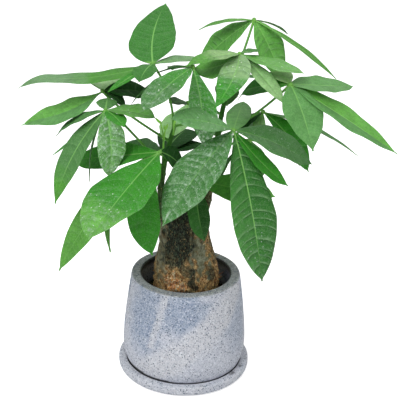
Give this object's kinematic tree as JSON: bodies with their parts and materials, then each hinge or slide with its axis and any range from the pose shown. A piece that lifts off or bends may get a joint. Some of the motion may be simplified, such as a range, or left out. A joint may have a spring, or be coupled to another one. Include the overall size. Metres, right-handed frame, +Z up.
{
  "type": "potted money tree",
  "caption": "Young money tree with a swollen trunk, two thin stems and palmate leaves, in a round stone-look pot that stands in its saucer.",
  "frame": {"origin": "centre of the saucer's flat underside, which is what the plant stands on", "axes": "+Z up along the pot's axis, -Y towards the front that the picture shows, +X to the right in that view"},
  "size_m": [0.3636, 0.2541, 0.3757],
  "materials": {
    "ware": "matte",
    "soil": "matte",
    "bark": "matte",
    "leaf": "satin"
  },
  "bodies": {
    "root": {"saucer": "ware", "pot": "ware", "soil": "soil", "trunk": "bark", "leaf_a": "leaf", "leaf_b": "leaf", "leaf_c": "leaf", "leaf_d": "leaf", "leaf_e": "leaf", "leaf_f": "leaf", "leaf_g": "leaf", "leaf_h": "leaf", "leaf_i": "leaf", "leaf_j": "leaf", "leaf_l": "leaf", "leaf_m": "leaf", "leaf_n": "leaf", "leaf_o": "leaf", "leaf_p": "leaf", "leaf_q": "leaf"}
  },
  "joints": []
}
